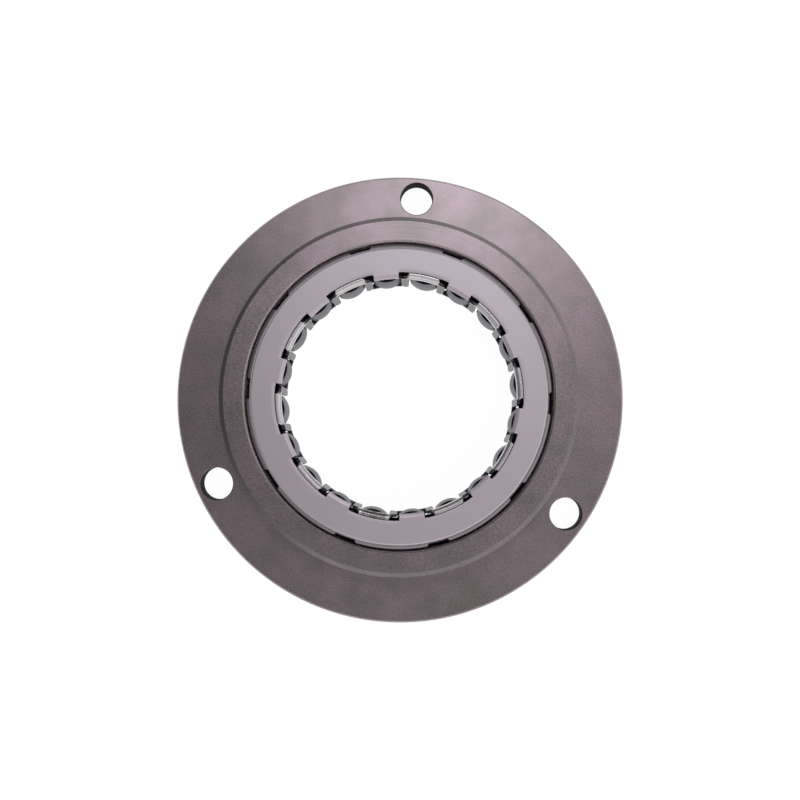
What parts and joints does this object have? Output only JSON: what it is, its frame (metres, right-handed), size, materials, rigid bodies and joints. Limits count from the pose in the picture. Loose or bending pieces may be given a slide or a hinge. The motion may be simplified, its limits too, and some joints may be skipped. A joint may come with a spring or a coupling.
{
  "type": "sprag clutch",
  "caption": "Flanged one-way sprag clutch: a bolted steel outer race holds a double cage of sprung sprags that grips a round hub one way and lets it run the other.",
  "frame": {"origin": "centre of the flange's rear face, on the clutch axis", "axes": "+Z along the clutch axis, out of the open mouth of the race; +X to the right of the picture, with one bolt hole near +Y"},
  "size_m": [0.11, 0.11, 0.017],
  "materials": {
    "race_steel": "fine ground and tumbled steel, warm grey, satin",
    "cage_sheet": "pressed sheet steel, smooth, pale grey, satin",
    "rolled_strip": "polished steel strip, rolled lips, bright",
    "spring_strip": "thin hardened spring strip",
    "sprag_steel": "hardened steel, fine matt grey cams"
  },
  "bodies": {
    "race": {"outer_race": "race_steel"},
    "cage": {"outer_cage": "cage_sheet", "ribbon_spring": "spring_strip"},
    "phasing_cage": {"inner_cage": "rolled_strip"},
    "sprag_01": {"sprag_01": "sprag_steel"},
    "sprag_02": {"sprag_02": "sprag_steel"},
    "sprag_03": {"sprag_03": "sprag_steel"},
    "sprag_04": {"sprag_04": "sprag_steel"},
    "sprag_05": {"sprag_05": "sprag_steel"},
    "sprag_06": {"sprag_06": "sprag_steel"},
    "sprag_07": {"sprag_07": "sprag_steel"},
    "sprag_08": {"sprag_08": "sprag_steel"},
    "sprag_09": {"sprag_09": "sprag_steel"},
    "sprag_10": {"sprag_10": "sprag_steel"},
    "sprag_11": {"sprag_11": "sprag_steel"},
    "sprag_12": {"sprag_12": "sprag_steel"},
    "sprag_13": {"sprag_13": "sprag_steel"},
    "sprag_14": {"sprag_14": "sprag_steel"},
    "sprag_15": {"sprag_15": "sprag_steel"},
    "sprag_16": {"sprag_16": "sprag_steel"},
    "sprag_17": {"sprag_17": "sprag_steel"},
    "sprag_18": {"sprag_18": "sprag_steel"},
    "sprag_19": {"sprag_19": "sprag_steel"},
    "sprag_20": {"sprag_20": "sprag_steel"}
  },
  "joints": [
    {"name": "cage_spin", "type": "hinge", "parent": "race", "child": "cage", "pos_m": [0, 0, 0.01], "axis": [0, 0, 1], "continuous": true},
    {"name": "inner_cage_phase", "type": "hinge", "parent": "cage", "child": "phasing_cage", "pos_m": [0, 0, 0.01], "axis": [0, 0, 1], "range_deg": [-0.4, 0]},
    {"name": "sprag_01_tilt", "type": "hinge", "parent": "cage", "child": "sprag_01", "pos_m": [0.03173, 0.00391, 0.01], "axis": [0, 0, 1], "range_deg": [0, 13.8], "stiffness_Nm_per_rad": 0.02},
    {"name": "sprag_02_tilt", "type": "hinge", "parent": "cage", "child": "sprag_02", "pos_m": [0.02897, 0.01352, 0.01], "axis": [0, 0, 1], "range_deg": [0, 13.8], "stiffness_Nm_per_rad": 0.02},
    {"name": "sprag_03_tilt", "type": "hinge", "parent": "cage", "child": "sprag_03", "pos_m": [0.02337, 0.02181, 0.01], "axis": [0, 0, 1], "range_deg": [0, 13.8], "stiffness_Nm_per_rad": 0.02},
    {"name": "sprag_04_tilt", "type": "hinge", "parent": "cage", "child": "sprag_04", "pos_m": [0.01549, 0.02796, 0.01], "axis": [0, 0, 1], "range_deg": [0, 13.8], "stiffness_Nm_per_rad": 0.02},
    {"name": "sprag_05_tilt", "type": "hinge", "parent": "cage", "child": "sprag_05", "pos_m": [0.00609, 0.03138, 0.01], "axis": [0, 0, 1], "range_deg": [0, 13.8], "stiffness_Nm_per_rad": 0.02},
    {"name": "sprag_06_tilt", "type": "hinge", "parent": "cage", "child": "sprag_06", "pos_m": [-0.00391, 0.03173, 0.01], "axis": [0, 0, 1], "range_deg": [0, 13.8], "stiffness_Nm_per_rad": 0.02},
    {"name": "sprag_07_tilt", "type": "hinge", "parent": "cage", "child": "sprag_07", "pos_m": [-0.01352, 0.02897, 0.01], "axis": [0, 0, 1], "range_deg": [0, 13.8], "stiffness_Nm_per_rad": 0.02},
    {"name": "sprag_08_tilt", "type": "hinge", "parent": "cage", "child": "sprag_08", "pos_m": [-0.02181, 0.02337, 0.01], "axis": [0, 0, 1], "range_deg": [0, 13.8], "stiffness_Nm_per_rad": 0.02},
    {"name": "sprag_09_tilt", "type": "hinge", "parent": "cage", "child": "sprag_09", "pos_m": [-0.02796, 0.01549, 0.01], "axis": [0, 0, 1], "range_deg": [0, 13.8], "stiffness_Nm_per_rad": 0.02},
    {"name": "sprag_10_tilt", "type": "hinge", "parent": "cage", "child": "sprag_10", "pos_m": [-0.03138, 0.00609, 0.01], "axis": [0, 0, 1], "range_deg": [0, 13.8], "stiffness_Nm_per_rad": 0.02},
    {"name": "sprag_11_tilt", "type": "hinge", "parent": "cage", "child": "sprag_11", "pos_m": [-0.03173, -0.00391, 0.01], "axis": [0, 0, 1], "range_deg": [0, 13.8], "stiffness_Nm_per_rad": 0.02},
    {"name": "sprag_12_tilt", "type": "hinge", "parent": "cage", "child": "sprag_12", "pos_m": [-0.02897, -0.01352, 0.01], "axis": [0, 0, 1], "range_deg": [0, 13.8], "stiffness_Nm_per_rad": 0.02},
    {"name": "sprag_13_tilt", "type": "hinge", "parent": "cage", "child": "sprag_13", "pos_m": [-0.02337, -0.02181, 0.01], "axis": [0, 0, 1], "range_deg": [0, 13.8], "stiffness_Nm_per_rad": 0.02},
    {"name": "sprag_14_tilt", "type": "hinge", "parent": "cage", "child": "sprag_14", "pos_m": [-0.01549, -0.02796, 0.01], "axis": [0, 0, 1], "range_deg": [0, 13.8], "stiffness_Nm_per_rad": 0.02},
    {"name": "sprag_15_tilt", "type": "hinge", "parent": "cage", "child": "sprag_15", "pos_m": [-0.00609, -0.03138, 0.01], "axis": [0, 0, 1], "range_deg": [0, 13.8], "stiffness_Nm_per_rad": 0.02},
    {"name": "sprag_16_tilt", "type": "hinge", "parent": "cage", "child": "sprag_16", "pos_m": [0.00391, -0.03173, 0.01], "axis": [0, 0, 1], "range_deg": [0, 13.8], "stiffness_Nm_per_rad": 0.02},
    {"name": "sprag_17_tilt", "type": "hinge", "parent": "cage", "child": "sprag_17", "pos_m": [0.01352, -0.02897, 0.01], "axis": [0, 0, 1], "range_deg": [0, 13.8], "stiffness_Nm_per_rad": 0.02},
    {"name": "sprag_18_tilt", "type": "hinge", "parent": "cage", "child": "sprag_18", "pos_m": [0.02181, -0.02337, 0.01], "axis": [0, 0, 1], "range_deg": [0, 13.8], "stiffness_Nm_per_rad": 0.02},
    {"name": "sprag_19_tilt", "type": "hinge", "parent": "cage", "child": "sprag_19", "pos_m": [0.02796, -0.01549, 0.01], "axis": [0, 0, 1], "range_deg": [0, 13.8], "stiffness_Nm_per_rad": 0.02},
    {"name": "sprag_20_tilt", "type": "hinge", "parent": "cage", "child": "sprag_20", "pos_m": [0.03138, -0.00609, 0.01], "axis": [0, 0, 1], "range_deg": [0, 13.8], "stiffness_Nm_per_rad": 0.02}
  ],
  "couplings": [
    {"joint": "inner_cage_phase", "follows": "sprag_01_tilt", "ratio": -0.0289},
    {"joint": "sprag_02_tilt", "follows": "sprag_01_tilt", "ratio": 1},
    {"joint": "sprag_03_tilt", "follows": "sprag_01_tilt", "ratio": 1},
    {"joint": "sprag_04_tilt", "follows": "sprag_01_tilt", "ratio": 1},
    {"joint": "sprag_05_tilt", "follows": "sprag_01_tilt", "ratio": 1},
    {"joint": "sprag_06_tilt", "follows": "sprag_01_tilt", "ratio": 1},
    {"joint": "sprag_07_tilt", "follows": "sprag_01_tilt", "ratio": 1},
    {"joint": "sprag_08_tilt", "follows": "sprag_01_tilt", "ratio": 1},
    {"joint": "sprag_09_tilt", "follows": "sprag_01_tilt", "ratio": 1},
    {"joint": "sprag_10_tilt", "follows": "sprag_01_tilt", "ratio": 1},
    {"joint": "sprag_11_tilt", "follows": "sprag_01_tilt", "ratio": 1},
    {"joint": "sprag_12_tilt", "follows": "sprag_01_tilt", "ratio": 1},
    {"joint": "sprag_13_tilt", "follows": "sprag_01_tilt", "ratio": 1},
    {"joint": "sprag_14_tilt", "follows": "sprag_01_tilt", "ratio": 1},
    {"joint": "sprag_15_tilt", "follows": "sprag_01_tilt", "ratio": 1},
    {"joint": "sprag_16_tilt", "follows": "sprag_01_tilt", "ratio": 1},
    {"joint": "sprag_17_tilt", "follows": "sprag_01_tilt", "ratio": 1},
    {"joint": "sprag_18_tilt", "follows": "sprag_01_tilt", "ratio": 1},
    {"joint": "sprag_19_tilt", "follows": "sprag_01_tilt", "ratio": 1},
    {"joint": "sprag_20_tilt", "follows": "sprag_01_tilt", "ratio": 1}
  ]
}
